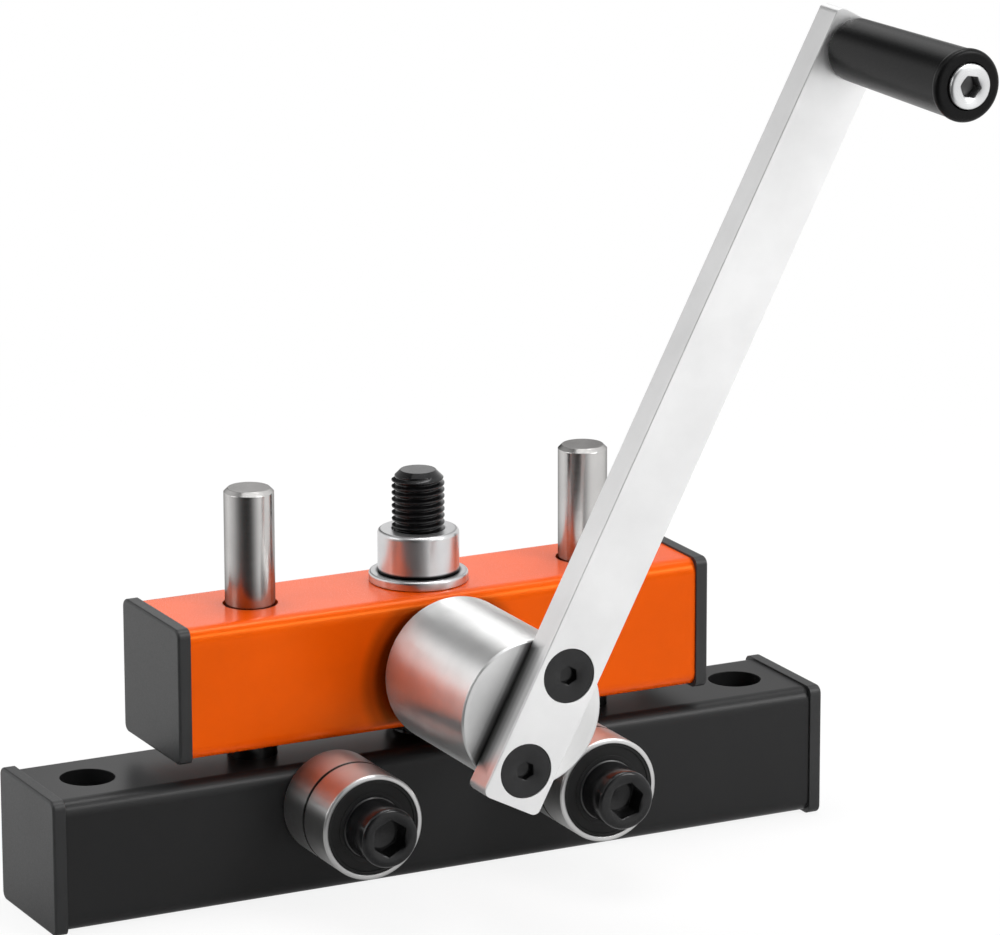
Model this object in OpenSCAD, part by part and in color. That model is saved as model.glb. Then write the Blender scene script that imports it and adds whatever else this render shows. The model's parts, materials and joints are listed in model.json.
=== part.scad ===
// Ring roller: a hand-cranked bench tool that bends flat bar into rings
// Millimetres, +X along the beams, -Y towards the crank, +Z up
// The origin is on the lower beam's underside, midway between the two bench holes

/* [Beams] */
// Outer width of both square tubes
tube_w = 40; // [40:0.5:46]
// Wall of both tubes as a share of their width
tube_wall_share = 0.125; // [0.075:0.0125:0.1375]
// Outer corner radius of both tubes
tube_corner_r = 4.4; // [4.2:0.1:6]
// Inner corner radius of both tubes
tube_inner_r = 1.5; // [0.5:0.1:3]
// Length of the lower beam
lower_l = 248.6; // [200:0.2:320]
// Length of the upper beam
upper_l = 167.8; // [158:0.2:200]
// Free height between the two beams
beam_gap = 6.5; // [6.5:0.5:12]

/* [Bench holes] */
// Diameter of the two holes that bolt the tool to a bench
bench_hole_d = 16.5; // [8:0.5:17]
// Distance from the lower beam's end to a bench hole's axis
bench_hole_inset = 15.5; // [15:0.5:25]

/* [End caps] */
// Thickness of a cap's flange
cap_flange_t = 4; // [3:0.5:6]
// How far the flange stands out past the tube all round
cap_overhang = 0.6; // [0.5:0.1:1.5]
// Corner radius of the flange
cap_corner_r = 2.6; // [2:0.2:5]
// Rounding of the flange's outer edge
cap_edge_r = 0.8; // [0.5:0.1:1.8]
// Depth of a cap's plug in the lower beam, which ends short of the bench hole
lower_plug_l = 6; // [5:0.5:6]
// Depth of a cap's plug in the upper beam
upper_plug_l = 12; // [6:0.5:14]
// Wall of a plug
cap_plug_wall = 2; // [1.5:0.5:3]

/* [Guide pins] */
// Diameter of the two guide pins
pin_d = 15; // [12:0.5:15]
// Distance from an upper beam's end to a guide pin's axis
pin_inset = 28.4; // [26:0.1:29.4]
// How far a pin stands above the upper beam
pin_rise = 35.3; // [20:0.1:50]
// Chamfer at a pin's ends
pin_chamfer = 1.2; // [0.5:0.1:2]
// Radial play of a pin in the upper beam
pin_play = 0.7; // [0.3:0.1:1]

/* [Clamp] */
// Thread diameter of the clamp bolt
clamp_d = 16; // [14:0.5:16]
// How far the clamp bolt stands above the upper beam
clamp_rise = 34.1; // [24:0.1:50]
// Chamfer at the clamp bolt's tip
clamp_tip_chamfer = 2.5; // [1:0.1:3.5]
// Diameter of the clamp bolt's head
clamp_head_d = 24; // [22:0.5:25]
// Height of the clamp bolt's head
clamp_head_h = 16; // [12:0.5:18]
// Hexagon socket of the clamp bolt, across flats
clamp_socket_af = 14; // [12:0.5:15]
// Hole below the head, through which the bolt goes in
clamp_key_hole_d = 26; // [25.5:0.5:30]
// Diameter of the round clamp nut
clamp_nut_d = 24.6; // [22:0.2:27]
// Height of the clamp nut
clamp_nut_h = 13; // [10:0.5:16]
// Rounding of the clamp nut's upper edge
clamp_nut_edge_r = 1.3; // [0.5:0.1:2]
// Diameter of the clamp washer
clamp_washer_d = 30; // [28:0.5:34]
// Thickness of the clamp washer
clamp_washer_t = 3; // [2:0.5:4]
// Rounding of the clamp washer's upper edge
clamp_washer_edge_r = 0.8; // [0.3:0.1:1.2]

/* [Lift spring] */
// Wire of the spring that lifts the upper beam against the nut
spring_wire = 2.2; // [1.8:0.1:2.4]
// Least play between the spring and the clamp bolt
spring_play = 0.1; // [0.1:0.05:0.3]
// Number of turns, closed ends included
spring_turns = 9; // [7:1:10]
// Gap between the wires of a closed end turn
spring_closed_gap = 0.5; // [0.45:0.05:0.8]

/* [Bearings] */
// Outer diameter of every ball bearing
bearing_od = 32; // [30:0.5:34]
// Bore of every ball bearing, and so the size of the bolts through them
bearing_bore = 12; // [10:0.5:12]
// Width of a support bearing
support_bearing_w = 14; // [12:0.5:16]
// Width of a drive bearing
drive_bearing_w = 10; // [9:0.5:11]
// Diameter of a ball
ball_d = 5.953; // [5:0.001:6]
// Number of balls in a bearing
ball_count = 7; // [6:1:8]

/* [Support rollers] */
// Distance from a guide pin's axis to the next support bolt's axis
bolt_to_pin = 16.6; // [16.5:0.1:23.5]
// Height of the support axes below the lower beam's top
support_axis_drop = 11.9; // [10:0.1:16]
// Thickness of a shim beside a support bearing
shim_t = 0.3; // [0.3:0.1:1]
// Length of a support bolt under its head
support_bolt_l = 85; // [82:1:100]

/* [Bolts through the bearings] */
// Head diameter of the support bolts and the axle screw
bolt_head_d = 18; // [16:0.5:18]
// Head height of the support bolts and the axle screw
bolt_head_h = 12; // [10:0.5:13]
// Hexagon socket in these heads, across flats
bolt_socket_af = 10; // [8:0.5:11]
// Nut of a support bolt, across flats
bolt_nut_af = 18; // [17:0.5:20]
// Height of a support bolt's nut
bolt_nut_h = 10.8; // [8:0.1:11]
// Diameter of a support bolt's washer
bolt_washer_d = 24; // [22:0.5:26]
// Thickness of a support bolt's washer
bolt_washer_t = 2.5; // [1.5:0.1:3]

/* [Drive roller] */
// Diameter of the drive roller
drum_d = 45; // [43:0.5:50]
// Length of the drive roller
drum_l = 51.6; // [51:0.2:60]
// Gap between the drive roller and the upper beam
drum_gap = 3; // [2:0.1:3.5]
// Chamfer on the roller's edges
drum_chamfer = 0.5; // [0.3:0.1:1.5]
// Height of the roller's axis below the middle of the upper beam
axle_drop = 2.1; // [0:0.1:3]
// Hole in the roller's front for the axle screw's key
key_hole_d = 13; // [12.8:0.1:16]
// Thickness of the ring that holds the bearings in the roller
circlip_t = 1.2; // [1:0.1:1.5]
// Length of the axle screw under its head
axle_screw_l = 32; // [30:0.1:32.5]
// Gap between the axle boss and the lift spring
axle_boss_gap = 0.9; // [0.8:0.1:1.5]
// Diameter of the axle boss
axle_boss_d = 22; // [18:0.5:24]

/* [Crank] */
// Crank radius, from the roller's axis to the grip's axis
crank_r = 213.5; // [150:0.5:260]
// Lean of the crank from upright
crank_lean = 27.6; // [0:0.1:60]
// Width of the crank arm
arm_w = 20; // [18:0.5:26]
// Thickness of the crank arm
arm_t = 10; // [8:0.5:12]
// Length of the arm past the roller's axis
arm_tail = 26.2; // [24:0.1:32]
// Length of the arm past the grip's axis
arm_tip = 9.3; // [7:0.1:14]
// Rounding of the arm's four corners
arm_corner_r = 2.5; // [1:0.1:4]
// Rounding of the arm's long edges
arm_edge_r = 0.4; // [0.3:0.1:1.5]
// Distance between the two arm screws
arm_screw_spacing = 30.2; // [28:0.2:32]
// Thread diameter of an arm screw
arm_screw_d = 8; // [6:0.5:8]
// Head diameter of an arm screw
arm_screw_head_d = 16.4; // [14:0.1:16.6]
// Overall length of an arm screw
arm_screw_l = 25; // [20:1:26]
// Hexagon socket of an arm screw, across flats
arm_screw_af = 5; // [4:0.5:6]

/* [Grip] */
// Length of the turning grip
grip_l = 63.6; // [50:0.1:90]
// Gap between the grip and the arm
grip_gap = 0.5; // [0.3:0.1:1]
// Diameter of the grip next to the arm
grip_back_d = 18.6; // [17:0.1:22]
// Diameter of the grip next to its rim
grip_front_d = 20.3; // [18:0.1:24]
// Diameter of the rim at the grip's outer end
grip_rim_d = 21; // [20:0.1:26]
// Length of the rim
grip_rim_l = 3.4; // [3.3:0.1:8]
// Thread diameter of the grip bolt
grip_bolt_d = 8; // [6:0.5:8]
// Head diameter of the grip bolt
grip_head_d = 13; // [11:0.5:13]
// Head height of the grip bolt
grip_head_h = 8; // [6:0.5:9]
// Hexagon socket of the grip bolt, across flats
grip_socket_af = 6; // [5:0.5:7]
// Depth of the recess for the grip bolt's head
grip_recess_h = 6.9; // [4:0.1:8]
// Outer diameter of the bush on which the grip turns
grip_bush_d = 11; // [10:0.5:11]

/* [Hidden] */
$fn = 96;

// Clearances
seat_gap = 0.02;
screw_slack = 0.03;
bolt_hole_play = 0.25;
running_gap = 0.05;
end_play = 0.3;
over = 1;

// Heights and faces of the beams
lower_top = tube_w;
upper_bottom = lower_top + beam_gap;
upper_mid = upper_bottom + tube_w / 2;
upper_top = upper_bottom + tube_w;
front_y = -tube_w / 2;
tube_wall = tube_wall_share * tube_w;
tube_inner_w = tube_w - 2 * tube_wall;
bench_hole_x = lower_l / 2 - bench_hole_inset;
pin_x = upper_l / 2 - pin_inset;

// Caps
cap_w = tube_w + 2 * cap_overhang;
plug_play = 0.8;
lip_t = 1;
lip_shares = [0.2, 0.7];

// Clamp bolt, which hangs its head below the lower beam's top wall
clamp_seat_z = lower_top - tube_wall;
clamp_bolt_l = upper_top + clamp_rise - clamp_seat_z;
clamp_hole_d = clamp_d + 2 * bolt_hole_play;
clamp_play = 0.6;

// Lift spring, between the lower beam and the roof of the upper beam
spring_rings = 8;
spring_sides = 6;
spring_mean_r = (clamp_d / 2 + spring_play + spring_wire / 2) / cos(180 / spring_rings);
spring_hole_d = 2 * spring_mean_r + spring_wire + 2 * clamp_play;
spring_z = lower_top + seat_gap;
spring_h = upper_top - tube_wall - lower_top - 2 * seat_gap;
spring_travel = spring_h - spring_wire;
spring_closed_pitch = spring_wire + spring_closed_gap;
spring_open_pitch = (spring_travel - 2 * spring_closed_pitch) / (spring_turns - 2);
spring_steps = spring_turns * spring_rings;

// Bearing races around one pitch circle
pitch_r = (bearing_od + bearing_bore) / 4;
ball_r = ball_d / 2;
race_r = ball_r + running_gap;
shoulder_share = 0.3;
inner_shoulder_r = pitch_r - shoulder_share * ball_d;
outer_shoulder_r = pitch_r + shoulder_share * ball_d;
seal_seat_share = 0.55;
seal_seat_r = outer_shoulder_r + seal_seat_share * (bearing_od / 2 - outer_shoulder_r);
seal_t = 0.9;
seal_inset = 0.3;
seal_groove = 0.3;
seal_groove_shares = [0.25, 0.8];
bearing_chamfer = 0.4;
cage_half_t = 0.8;
cage_w = 7.2;
pocket_gap = 0.1;

// Support stack, counted forward from the lower beam's front face
support_x = pin_x - bolt_to_pin;
support_z = lower_top - support_axis_drop;
shim_d = 2 * inner_shoulder_r - 2 * seat_gap;
support_pitch = support_bearing_w + shim_t;
support_head_f = 2 * support_pitch;
bolt_hole_d = bearing_bore + 2 * bolt_hole_play;
socket_depth_share = 0.55;
head_edge_share = 0.075;
tip_chamfer = 1;
washer_chamfer = 0.3;
nut_chamfer_share = 0.95;
support_socket_turns = [26, 14];

// Drive stack, counted forward from the upper beam's front face
drive_z = upper_mid - axle_drop;
axle_boss_depth = -front_y - spring_mean_r - spring_wire / 2 - axle_boss_gap;
circlip_inset = 0.5;
circlip_depth = 0.8;
circlip_w = 2.4;
circlip_lug_r = 2.1;
circlip_lug_hole_r = 0.9;
circlip_gap_angle = 46;
drive_rear_f = drum_gap + circlip_inset + circlip_t;
drive_front_f = drive_rear_f + drive_bearing_w;
axle_head_f = drive_front_f + drive_bearing_w;
drum_front_f = drum_gap + drum_l;
head_room = 1.5;
spacer_d = shim_d;

// Crank
face_y = front_y - drum_front_f;
arm_screw_r = arm_screw_d / 2;
arm_screw_land = 0.5;
arm_screw_sink = 0.2;
arm_screw_cone_h = (arm_screw_head_d - arm_screw_d) / 2;
arm_screw_drill = arm_screw_l - arm_t + over;
arm_socket_turn = 30;
grip_bolt_seat = grip_gap + grip_l - grip_recess_h + end_play;
grip_bolt_short = 1;
grip_bolt_l = grip_bolt_seat + arm_t - grip_bolt_short;
grip_head_play = 0.4;
grip_recess_d = grip_head_d + 2 * grip_head_play;
grip_edge_r = 2.2;
grip_rim_r = 1.6;

// Colours
beam_black = "#2c2c2e";
beam_orange = "#f8641e";
cap_grey = "#303134";
ground_steel = "#b4b2b0";
bright_zinc = "#d5d6d8";
black_oxide = "#222325";
spring_steel = "#3a3a3c";
seal_black = "#1b1b1c";
bearing_steel = "#c4c4c6";
brass = "#b98d3e";
turned_steel = "#bdbcba";
satin_aluminium = "#dcdcde";
grip_black = "#262628";

// Turns a piece drawn along +Z to point forward, towards the crank
module forward(x, y, z) {
    translate([x, y, z]) rotate([90, 0, 0]) children();
}

// Turns a piece drawn along +Z to point to the rear
module backward(x, y, z) {
    translate([x, y, z]) rotate([-90, 0, 0]) children();
}

// Extrudes a profile along X, its own axes along Y and Z
module along_x(l) {
    rotate([90, 0, 90]) linear_extrude(l, center = true) children();
}

// Rectangle with true corner arcs
module round_rect(w, h, r) {
    square([w - 2 * r, h], center = true);
    square([w, h - 2 * r], center = true);
    for (x = [-1, 1], y = [-1, 1])
        translate([x * (w / 2 - r), y * (h / 2 - r)]) circle(r);
}

// Cylinder with a chamfer at each end
module chamfered_rod(d, l, low, high) {
    rotate_extrude() polygon([
        [0, 0], [d / 2 - low, 0], [d / 2, low],
        [d / 2, l - high], [d / 2 - high, l], [0, l]
    ]);
}

// Flat ring, with its outer edges chamfered
module flat_ring(outer_d, inner_d, t, chamfer) {
    rotate_extrude() polygon([
        [inner_d / 2, 0], [outer_d / 2 - chamfer, 0], [outer_d / 2, chamfer],
        [outer_d / 2, t - chamfer], [outer_d / 2 - chamfer, t], [inner_d / 2, t]
    ]);
}

// Thick ring with a lightly chamfered foot and a rounded upper edge
module soft_ring(outer_d, inner_d, t, edge_r) {
    rotate_extrude() polygon([
        [inner_d / 2, 0], [outer_d / 2 - washer_chamfer, 0], [outer_d / 2, washer_chamfer],
        for (a = [0:15:90]) [outer_d / 2 - edge_r + edge_r * cos(a), t - edge_r + edge_r * sin(a)],
        [inner_d / 2, t]
    ]);
}

// Hexagon prism from its width across flats
module hex_prism(af, h) {
    cylinder(r = af / 2 / cos(30), h = h, $fn = 6);
}

// Socket head screw: the head stands on z = 0 and the shank hangs below, rooted in the head
module socket_screw(d, l, head_d, head_h, af, tip) {
    depth = socket_depth_share * head_h;
    difference() {
        soft_ring(head_d, 0, head_h, head_edge_share * head_d);
        translate([0, 0, head_h - depth]) hex_prism(af, depth + over);
    }
    translate([0, 0, -l]) chamfered_rod(d - 2 * screw_slack, l + over, tip, 0);
}

// Hexagon nut with both faces chamfered
module hex_nut(af, h, bore_d) {
    corner_r = af / 2 / cos(30);
    flat_r = nut_chamfer_share * af / 2;
    slope_h = (corner_r - flat_r) * tan(30);
    difference() {
        intersection() {
            hex_prism(af, h);
            rotate_extrude() polygon([
                [0, 0], [flat_r, 0], [corner_r, slope_h],
                [corner_r, h - slope_h], [flat_r, h], [0, h]
            ]);
        }
        translate([0, 0, -over]) cylinder(d = bore_d, h = h + 2 * over);
    }
}

// Square tube section
module tube_section() {
    difference() {
        round_rect(tube_w, tube_w, tube_corner_r);
        round_rect(tube_inner_w, tube_inner_w, tube_inner_r);
    }
}

// Cuts a hole down through both walls of a beam
module drill_down(x, d, z) {
    translate([x, 0, z - over]) cylinder(d = d, h = tube_w + 2 * over);
}

// Cuts a hole through one wall, whose lower face is at z
module drill_wall(x, d, z) {
    translate([x, 0, z - over / 2]) cylinder(d = d, h = tube_wall + over);
}

// Slab with round corners, whose top edge is rounded all the way round
module soft_plate(w, t, corner_r, edge_r) {
    span = w - 2 * corner_r;
    for (turn = [0, 90])
        rotate([90, 0, turn]) linear_extrude(span, center = true) {
            translate([-w / 2, 0]) square([w, t - edge_r]);
            translate([edge_r - w / 2, 0]) square([w - 2 * edge_r, t]);
            for (x = [-1, 1]) translate([x * (w / 2 - edge_r), t - edge_r]) circle(edge_r);
        }
    for (x = [-1, 1], y = [-1, 1])
        translate([x * span / 2, y * span / 2, 0]) rotate_extrude() {
            square([corner_r, t - edge_r]);
            square([corner_r - edge_r, t]);
            translate([corner_r - edge_r, t - edge_r]) circle(edge_r);
        }
}

// End cap: the flange stands on z = 0 and the hollow plug hangs below, with two lips
module end_cap(plug_l) {
    plug_w = tube_inner_w - 2 * plug_play;
    lip_w = tube_inner_w - 2 * seat_gap;
    soft_plate(cap_w, cap_flange_t, cap_corner_r, cap_edge_r);
    difference() {
        translate([0, 0, -plug_l]) union() {
            linear_extrude(plug_l + over) round_rect(plug_w, plug_w, tube_inner_r);
            for (s = lip_shares)
                translate([0, 0, s * plug_l]) linear_extrude(lip_t)
                    round_rect(lip_w, lip_w, tube_inner_r);
        }
        translate([0, 0, -plug_l - over]) linear_extrude(plug_l + over)
            round_rect(plug_w - 2 * cap_plug_wall, plug_w - 2 * cap_plug_wall, tube_inner_r);
    }
}

// Places a cap on the end of a beam of length l, on side -1 or 1
module on_beam_end(side, l, z) {
    translate([side * l / 2, 0, z]) rotate([90, 0, side * 90]) children();
}

module lower_beam() {
    color(beam_black) difference() {
        translate([0, 0, lower_top / 2]) along_x(lower_l) tube_section();
        for (side = [-1, 1]) {
            drill_down(side * bench_hole_x, bench_hole_d, 0);
            drill_down(side * pin_x, pin_d + 2 * seat_gap, 0);
            forward(side * support_x, tube_w / 2 + over, support_z)
                cylinder(d = bolt_hole_d, h = tube_w + 2 * over);
        }
        drill_wall(0, clamp_hole_d, clamp_seat_z);
        drill_wall(0, clamp_key_hole_d, 0);
    }
}

module upper_beam() {
    color(beam_orange) difference() {
        translate([0, 0, upper_mid]) along_x(upper_l) tube_section();
        for (side = [-1, 1]) drill_down(side * pin_x, pin_d + 2 * pin_play, upper_bottom);
        drill_wall(0, spring_hole_d, upper_bottom);
        drill_wall(0, clamp_d + 2 * clamp_play, upper_top - tube_wall);
        forward(0, front_y + tube_wall + over, drive_z)
            cylinder(d = bearing_bore, h = tube_wall + 2 * over);
    }
}

module lower_cap_left() color(cap_grey) on_beam_end(-1, lower_l, lower_top / 2) end_cap(lower_plug_l);
module lower_cap_right() color(cap_grey) on_beam_end(1, lower_l, lower_top / 2) end_cap(lower_plug_l);
module upper_cap_left() color(cap_grey) on_beam_end(-1, upper_l, upper_mid) end_cap(upper_plug_l);
module upper_cap_right() color(cap_grey) on_beam_end(1, upper_l, upper_mid) end_cap(upper_plug_l);

// Guide pin, pressed through both walls of the lower beam
module guide_pin(side) {
    color(ground_steel) translate([side * pin_x, 0, 0])
        chamfered_rod(pin_d, upper_top + pin_rise, tip_chamfer / 2, pin_chamfer);
}
module guide_pin_left() guide_pin(-1);
module guide_pin_right() guide_pin(1);

module clamp_bolt() {
    color(black_oxide) translate([0, 0, clamp_seat_z]) rotate([180, 0, 0])
        socket_screw(clamp_d, clamp_bolt_l,
            clamp_head_d, clamp_head_h, clamp_socket_af, clamp_tip_chamfer);
}

module clamp_washer() {
    color(bright_zinc) translate([0, 0, upper_top])
        soft_ring(clamp_washer_d, clamp_d + 2 * clamp_play, clamp_washer_t, clamp_washer_edge_r);
}

module clamp_nut() {
    color(bright_zinc) translate([0, 0, upper_top + clamp_washer_t])
        soft_ring(clamp_nut_d, clamp_d + 2 * running_gap, clamp_nut_h, clamp_nut_edge_r);
}

// Height of the wire's centre after a number of turns, closed at both ends
function spring_climb(t) =
    t < 1 ? spring_closed_pitch * t
    : t > spring_turns - 1 ? spring_travel - spring_closed_pitch * (spring_turns - t)
    : spring_closed_pitch + spring_open_pitch * (t - 1);

// Centre of the wire at one step of the coil
function spring_centre(i) =
    let (turn = 360 * i / spring_rings)
    [spring_mean_r * cos(turn), spring_mean_r * sin(turn),
     spring_z + spring_wire / 2 + spring_climb(i / spring_rings)];

// One six-sided ring of points round the wire
function spring_ring(i) =
    let (
        turn = 360 * i / spring_rings,
        out = [cos(turn), sin(turn), 0],
        ahead = spring_centre(min(i + 1, spring_steps)) - spring_centre(max(i - 1, 0)),
        up = cross(out, ahead) / norm(cross(out, ahead))
    )
    [for (k = [0:spring_sides - 1])
        let (a = 360 * (k + 1 / 2) / spring_sides)
        spring_centre(i) + spring_wire / 2 * (cos(a) * out + sin(a) * up)];

spring_points = [for (i = [0:spring_steps]) each spring_ring(i)];
spring_faces = concat(
    [for (i = [0:spring_steps - 1], k = [0:spring_sides - 1], half = [0, 1])
        let (
            next = (k + 1) % spring_sides,
            a = i * spring_sides + k,
            b = i * spring_sides + next,
            c = a + spring_sides,
            d = b + spring_sides
        )
        half == 0 ? [a, b, d] : [a, d, c]],
    [for (k = [1:spring_sides - 2]) [0, k + 1, k]],
    [for (k = [1:spring_sides - 2])
        let (last = spring_steps * spring_sides) [last, last + k, last + k + 1]]
);
spring_least_gap = min([
    for (i = [0:spring_steps - spring_rings + 1], j = [i + spring_rings - 1:i + spring_rings + 1])
        if (j <= spring_steps)
            for (p = spring_ring(i), q = spring_ring(j)) norm(p - q)
]);
echo(spring_least_gap = spring_least_gap);

module lift_spring() {
    color(spring_steel) polyhedron(spring_points, spring_faces);
}

// Outer ring of a bearing, standing on z = 0
module bearing_outer_ring(w) {
    seat_h = seal_inset + seal_t;
    r = bearing_od / 2;
    color(bearing_steel) rotate_extrude() difference() {
        polygon([
            [seal_seat_r, 0], [r - bearing_chamfer, 0], [r, bearing_chamfer],
            [r, w - bearing_chamfer], [r - bearing_chamfer, w], [seal_seat_r, w],
            [seal_seat_r, w - seat_h], [outer_shoulder_r, w - seat_h],
            [outer_shoulder_r, seat_h], [seal_seat_r, seat_h]
        ]);
        translate([pitch_r, w / 2]) circle(race_r);
    }
}

// Inner ring of a bearing, standing on z = 0
module bearing_inner_ring(w) {
    color(bearing_steel) rotate_extrude() difference() {
        translate([bearing_bore / 2, 0]) square([inner_shoulder_r - bearing_bore / 2, w]);
        translate([pitch_r, w / 2]) circle(race_r);
    }
}

// Balls and their cage, in a bearing that stands on z = 0
module bearing_ball_set(w) {
    turns = [for (k = [0:ball_count - 1]) 360 * (k + 1 / 4) / ball_count];
    color(bearing_steel)
        for (a = turns) rotate([0, 0, a]) translate([pitch_r, 0, w / 2]) sphere(ball_r);
    color(brass) difference() {
        translate([0, 0, (w - cage_w) / 2]) rotate_extrude()
            translate([pitch_r - cage_half_t, 0]) square([2 * cage_half_t, cage_w]);
        for (a = turns)
            rotate([0, 0, a]) translate([pitch_r / 2, 0, w / 2]) rotate([0, 90, 0])
                cylinder(r = ball_r + pocket_gap, h = pitch_r);
    }
}

// Half section of a seal, its outer face on y = 0 and grooved
module seal_section() {
    lip_r = inner_shoulder_r + pocket_gap;
    rim_r = seal_seat_r - seat_gap;
    groove_w = rim_r - lip_r;
    difference() {
        translate([lip_r, 0]) square([groove_w, seal_t - seat_gap]);
        translate([lip_r + seal_groove_shares[0] * groove_w, -over])
            square([(seal_groove_shares[1] - seal_groove_shares[0]) * groove_w, over + seal_groove]);
    }
}

// The two seals of a bearing that stands on z = 0
module bearing_seals(w) {
    color(seal_black) {
        translate([0, 0, seal_inset]) rotate_extrude() seal_section();
        translate([0, 0, w - seal_inset]) mirror([0, 0, 1]) rotate_extrude() seal_section();
    }
}

// Seat of a support bearing: side is -1 or 1, place is 0 at the beam and 1 in front
module support_seat(side, place) {
    forward(side * support_x, front_y - shim_t - place * support_pitch, support_z) children();
}

module left_rear_outer_ring() support_seat(-1, 0) bearing_outer_ring(support_bearing_w);
module left_rear_inner_ring() support_seat(-1, 0) bearing_inner_ring(support_bearing_w);
module left_rear_ball_set() support_seat(-1, 0) bearing_ball_set(support_bearing_w);
module left_rear_seals() support_seat(-1, 0) bearing_seals(support_bearing_w);
module left_front_outer_ring() support_seat(-1, 1) bearing_outer_ring(support_bearing_w);
module left_front_inner_ring() support_seat(-1, 1) bearing_inner_ring(support_bearing_w);
module left_front_ball_set() support_seat(-1, 1) bearing_ball_set(support_bearing_w);
module left_front_seals() support_seat(-1, 1) bearing_seals(support_bearing_w);
module right_rear_outer_ring() support_seat(1, 0) bearing_outer_ring(support_bearing_w);
module right_rear_inner_ring() support_seat(1, 0) bearing_inner_ring(support_bearing_w);
module right_rear_ball_set() support_seat(1, 0) bearing_ball_set(support_bearing_w);
module right_rear_seals() support_seat(1, 0) bearing_seals(support_bearing_w);
module right_front_outer_ring() support_seat(1, 1) bearing_outer_ring(support_bearing_w);
module right_front_inner_ring() support_seat(1, 1) bearing_inner_ring(support_bearing_w);
module right_front_ball_set() support_seat(1, 1) bearing_ball_set(support_bearing_w);
module right_front_seals() support_seat(1, 1) bearing_seals(support_bearing_w);

// Support bolt, which clamps the inner rings and shims against the lower beam
module support_bolt(side, turn) {
    color(black_oxide) forward(side * support_x, front_y - support_head_f, support_z)
        rotate([0, 0, turn]) socket_screw(bearing_bore, support_bolt_l,
            bolt_head_d, bolt_head_h, bolt_socket_af, tip_chamfer);
}
module support_bolt_left() support_bolt(-1, support_socket_turns[0]);
module support_bolt_right() support_bolt(1, support_socket_turns[1]);

module support_bolt_washers() {
    color(bright_zinc) for (side = [-1, 1])
        backward(side * support_x, -front_y, support_z)
            flat_ring(bolt_washer_d, bearing_bore + 2 * bolt_hole_play, bolt_washer_t, washer_chamfer);
}

module support_bolt_nuts() {
    color(bright_zinc) for (side = [-1, 1])
        backward(side * support_x, bolt_washer_t - front_y, support_z)
            hex_nut(bolt_nut_af, bolt_nut_h, bearing_bore);
}

module support_shims() {
    color(bright_zinc) for (side = [-1, 1], place = [0, 1])
        forward(side * support_x, front_y - place * support_pitch, support_z)
            flat_ring(shim_d, bearing_bore, shim_t, 0);
}

// Seat of a drive bearing, counted forward from the upper beam
module drive_seat(f) {
    forward(0, front_y - f, drive_z) children();
}

module drive_rear_outer_ring() drive_seat(drive_rear_f) bearing_outer_ring(drive_bearing_w);
module drive_rear_inner_ring() drive_seat(drive_rear_f) bearing_inner_ring(drive_bearing_w);
module drive_rear_ball_set() drive_seat(drive_rear_f) bearing_ball_set(drive_bearing_w);
module drive_rear_seals() drive_seat(drive_rear_f) bearing_seals(drive_bearing_w);
module drive_front_outer_ring() drive_seat(drive_front_f) bearing_outer_ring(drive_bearing_w);
module drive_front_inner_ring() drive_seat(drive_front_f) bearing_inner_ring(drive_bearing_w);
module drive_front_ball_set() drive_seat(drive_front_f) bearing_ball_set(drive_bearing_w);
module drive_front_seals() drive_seat(drive_front_f) bearing_seals(drive_bearing_w);

module axle_screw() {
    color(black_oxide) drive_seat(axle_head_f) socket_screw(bearing_bore, axle_screw_l,
        bolt_head_d, bolt_head_h, bolt_socket_af, tip_chamfer);
}

module axle_spacer() {
    color(bright_zinc) drive_seat(0) flat_ring(spacer_d, bearing_bore, drive_rear_f, 0);
}

// Threaded boss behind the upper beam's front wall, which backs the axle screw's thread
module axle_boss() {
    color(beam_orange) drive_seat(-axle_boss_depth)
        flat_ring(axle_boss_d, bearing_bore, axle_boss_depth - tube_wall, 0);
}

// Hollow drive roller: bearing bore, room for the axle's head, key hole and two threads
module drive_drum() {
    bore_l = axle_head_f - drum_gap;
    groove_r = bearing_od / 2 + circlip_depth;
    color(turned_steel) drive_seat(drum_gap) difference() {
        chamfered_rod(drum_d, drum_l, drum_chamfer, drum_chamfer);
        translate([0, 0, -over]) cylinder(d = bearing_od + 2 * seat_gap, h = bore_l + over);
        translate([0, 0, circlip_inset]) cylinder(r = groove_r + seat_gap, h = circlip_t);
        translate([0, 0, bore_l - over])
            cylinder(d = bolt_head_d + 2 * head_room, h = bolt_head_h + head_room + over);
        cylinder(d = key_hole_d, h = drum_l + over);
        rotate([0, 0, -crank_lean]) for (side = [-1, 1])
            translate([0, side * arm_screw_spacing / 2, drum_l - arm_screw_drill])
                cylinder(d = arm_screw_d, h = arm_screw_drill + over);
    }
}

// Spring ring with two eyes, which snaps into the roller's groove
module drum_circlip() {
    r = bearing_od / 2 + circlip_depth;
    eye_r = r - circlip_w / 2 - circlip_lug_r / 2;
    eye_angle = circlip_gap_angle / 2 + asin(circlip_lug_r / eye_r);
    color(spring_steel) drive_seat(drum_gap + circlip_inset) linear_extrude(circlip_t) difference() {
        union() {
            difference() {
                circle(r);
                circle(r - circlip_w);
                polygon([[0, 0], for (a = [-1, 1]) 2 * r * [a * sin(eye_angle), -cos(eye_angle)]]);
            }
            for (a = [-1, 1]) rotate(a * eye_angle) translate([0, -eye_r]) circle(circlip_lug_r);
        }
        for (a = [-1, 1]) rotate(a * eye_angle) translate([0, -eye_r]) circle(circlip_lug_hole_r);
    }
}

// Frame on the roller's front face, its +Y along the crank and its +Z forward
module on_crank(along, out) {
    forward(0, face_y, drive_z) rotate([0, 0, -crank_lean]) translate([0, along, out]) children();
}

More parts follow.
